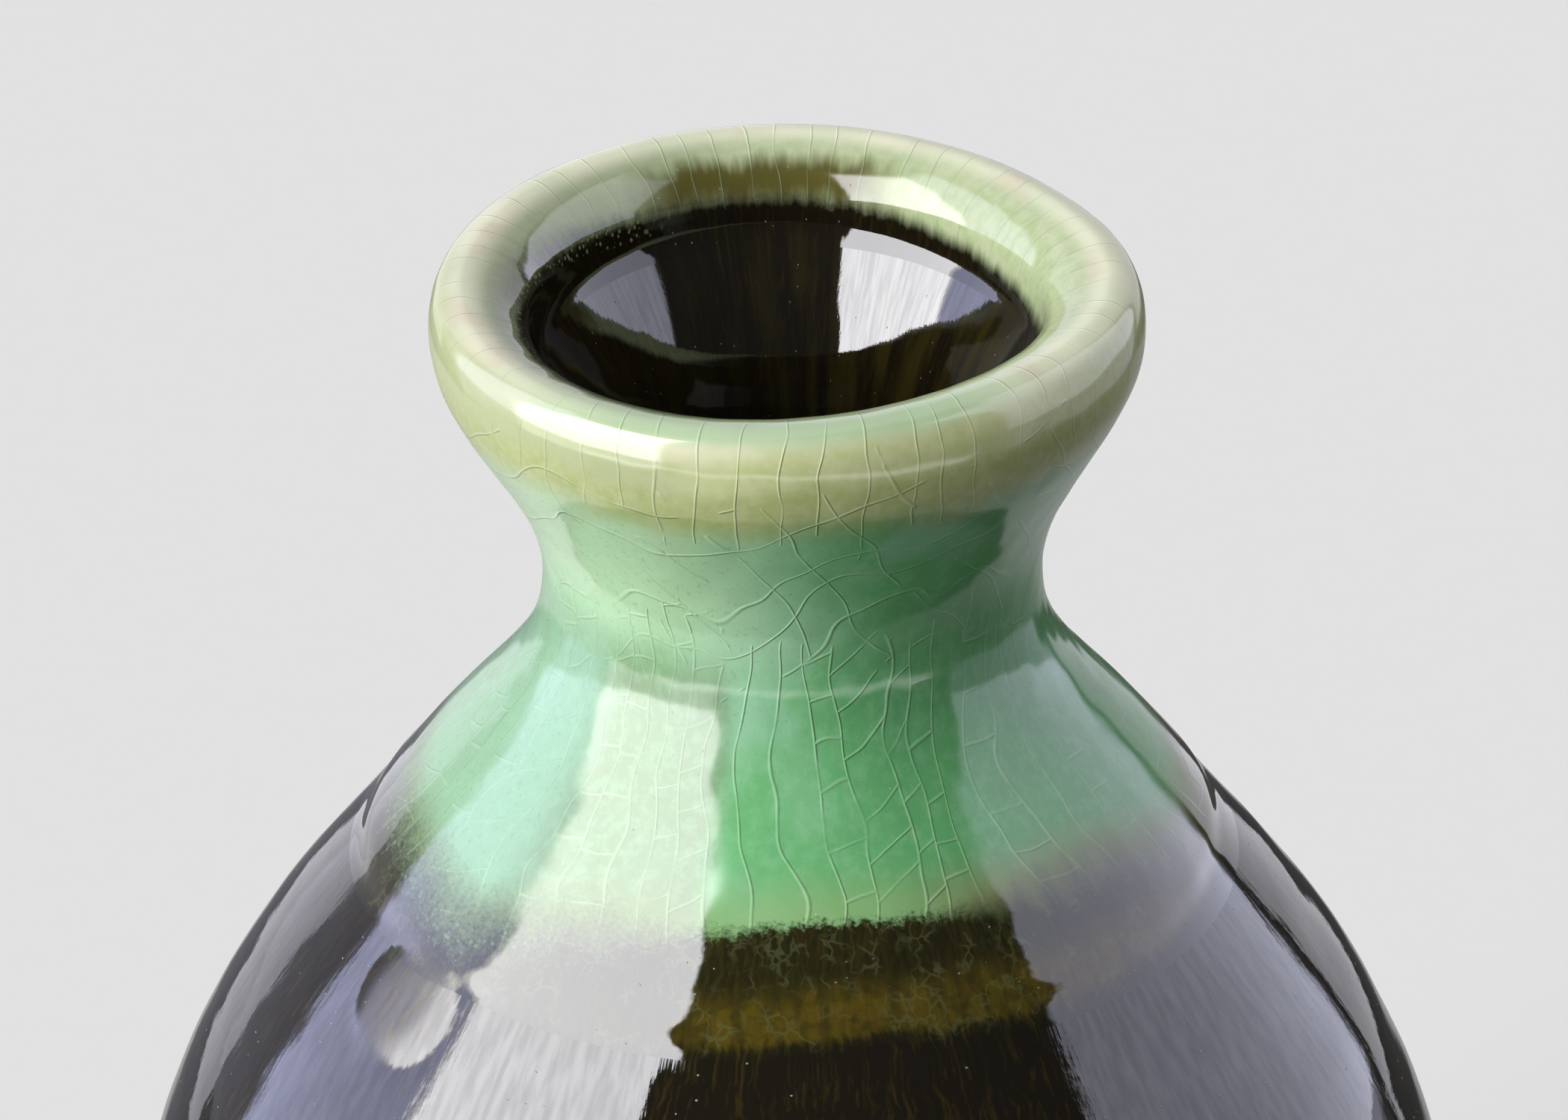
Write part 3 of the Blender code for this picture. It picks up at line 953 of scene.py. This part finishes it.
def room_seen(g, azimuth, elevation):
    """The table below, a faint strip low in front, and the ceiling above."""
    stops = [(place, (value,) * 3) for place, value in TABLE]
    under = g.grey(g.span(elevation, STRIP_FOOT, STRIP_FOOT - TABLE_BLUR))
    table = g.vector("MULTIPLY", ring(g, azimuth, stops, BRIGHTEST_TABLE), under)
    strip = g.span(elevation, STRIP_TOP + STRIP_BLUR / 2, STRIP_TOP - STRIP_BLUR / 2)
    strip = g.times(strip, past(g, elevation, STRIP_FOOT, STRIP_BLUR))
    strip = g.times(strip, g.span(g.math("ABSOLUTE", azimuth), *STRIP_ENDS), STRIP)
    ceiling = g.span(elevation, PANEL_TOP - PANEL_TOP_BLUR, ZENITH, DARK, CEILING)
    near = g.span(elevation, NEAR_FROM, NEAR_TO, 0.0, NEAR_TABLE)
    return g.vector("ADD", table, g.grey(g.plus(strip, ceiling, near)))


def mirrored_studio(g):
    """What the glaze mirrors, by the azimuth and elevation of the mirrored way."""
    way = g.parts(g.node("ShaderNodeTexCoord").outputs["Generated"])
    azimuth = g.times(g.math("ARCTAN2", way["X"], g.times(way["Y"], -1.0)), math.degrees(1.0))
    elevation = g.times(g.math("ARCSINE", way["Z"]), math.degrees(1.0))
    lit = g.vector("ADD", panels_seen(g, azimuth, elevation), backdrop_seen(g, azimuth, elevation))
    return g.vector("ADD", lit, room_seen(g, azimuth, elevation))


def studio_world():
    """A pale ground for the camera, soft fill for matt surfaces, and the studio for the glaze to mirror."""
    world = bpy.data.worlds.new("studio")
    bpy.context.scene.world = world
    world.use_nodes = True
    g = Graph(world.node_tree)
    rise = g.parts(g.node("ShaderNodeTexCoord").outputs["Generated"])["Z"]
    fill = g.span(rise, -FILL_TURN, FILL_TURN, FILL_BELOW, FILL_ABOVE)
    ray = g.node("ShaderNodeLightPath").outputs
    mirrored = g.span(ray["Glossy Depth"], 1.0, 2.0, 1.0, TWICE_MIRRORED)

    def background(strength, colour=WHITE):
        return g.node("ShaderNodeBackground", {"Color": colour, "Strength": strength}).outputs[0]

    def choice(which, otherwise, chosen):
        return g.node("ShaderNodeMixShader", {0: ray[which], 1: otherwise, 2: chosen}).outputs[0]

    seen = choice("Is Camera Ray", background(fill), background(PALE))
    seen = choice("Is Glossy Ray", seen, background(mirrored, mirrored_studio(g)))
    g.node("ShaderNodeOutputWorld", {"Surface": seen})


def add_sun(name, azimuth, elevation, strength, width, colour):
    """Soft light from far off. It isn't mirrored in the glaze, which mirrors the world's panels instead."""
    light = bpy.data.lights.new(name, "SUN")
    light.energy = strength
    light.angle = math.radians(width)
    light.color = colour
    sun = bpy.data.objects.new(name, light)
    bpy.context.scene.collection.objects.link(sun)
    turn, rise = math.radians(azimuth), math.radians(elevation)
    towards = Vector((math.sin(turn) * math.cos(rise), -math.cos(turn) * math.cos(rise), math.sin(rise)))
    sun.rotation_euler = towards.to_track_quat("Z", "Y").to_euler()
    sun.visible_glossy = False


def add_floor():
    """A pale paper floor that fades into the ground behind. It lights and shades nothing itself."""
    material, g = new_material("floor")
    paper = g.noise(g.node("ShaderNodeTexCoord").outputs["Object"], 300.0, 2.0)
    colour = g.mix(g.times(paper, 0.01), rgb(*FLOOR_TONE), rgb(0, 0, 0))
    shader = g.node("ShaderNodeBsdfDiffuse", {"Color": colour})
    g.node("ShaderNodeOutputMaterial", {"Surface": shader.outputs[0]})
    mesh = bpy.data.meshes.new("floor")
    disc = bmesh.new()
    bmesh.ops.create_circle(disc, cap_ends=True, segments=FLOOR_SIDES, radius=FLOOR_RADIUS)
    disc.to_mesh(mesh)
    disc.free()
    mesh.materials.append(material)
    floor = bpy.data.objects.new("floor", mesh)
    floor.location.z = CAD_LOW.z
    bpy.context.scene.collection.objects.link(floor)
    floor.visible_glossy = False
    floor.visible_diffuse = False
    floor.visible_shadow = False


def add_camera():
    camera = bpy.data.cameras.new("camera")
    camera.lens = CAMERA_LENS
    camera.sensor_width = SENSOR_WIDTH
    camera.clip_start, camera.clip_end = 0.01, 50.0
    back = Vector((0, -math.cos(CAMERA_ELEVATION), math.sin(CAMERA_ELEVATION)))
    eye = bpy.data.objects.new("camera", camera)
    bpy.context.scene.collection.objects.link(eye)
    turned = back.to_track_quat("Z", "Y").to_matrix().to_4x4() @ Matrix.Rotation(-CAMERA_ROLL, 4, "Z")
    eye.matrix_world = Matrix.Translation(LOOK_AT + back * CAMERA_DISTANCE) @ turned
    bpy.context.scene.camera = eye


# ---------------------------------------------------------------- the scene


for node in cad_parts.values():
    node.data.materials.clear()

surfaces = {node: fine_surface(node) for node in COLUMNS}
tables = skin_tables({node: surface for node, surface in surfaces.items() if node != "clay_body"})
iron, green, clay = iron_glaze(), green_glaze(), stoneware()
fine_piece("clay_body", surfaces["clay_body"], tables, clay)
fine_piece("inner_iron_glaze", surfaces["inner_iron_glaze"], tables, iron)
fine_piece("outer_iron_glaze", surfaces["outer_iron_glaze"], tables, iron)
fine_piece("green_glaze", surfaces["green_glaze"], tables, green)

studio_world()
add_sun("key", *KEY_SUN)
add_sun("side", *SIDE_SUN)
add_sun("top", *TOP_SUN)
add_floor()
add_camera()
bpy.context.scene.view_settings.view_transform = "Standard"
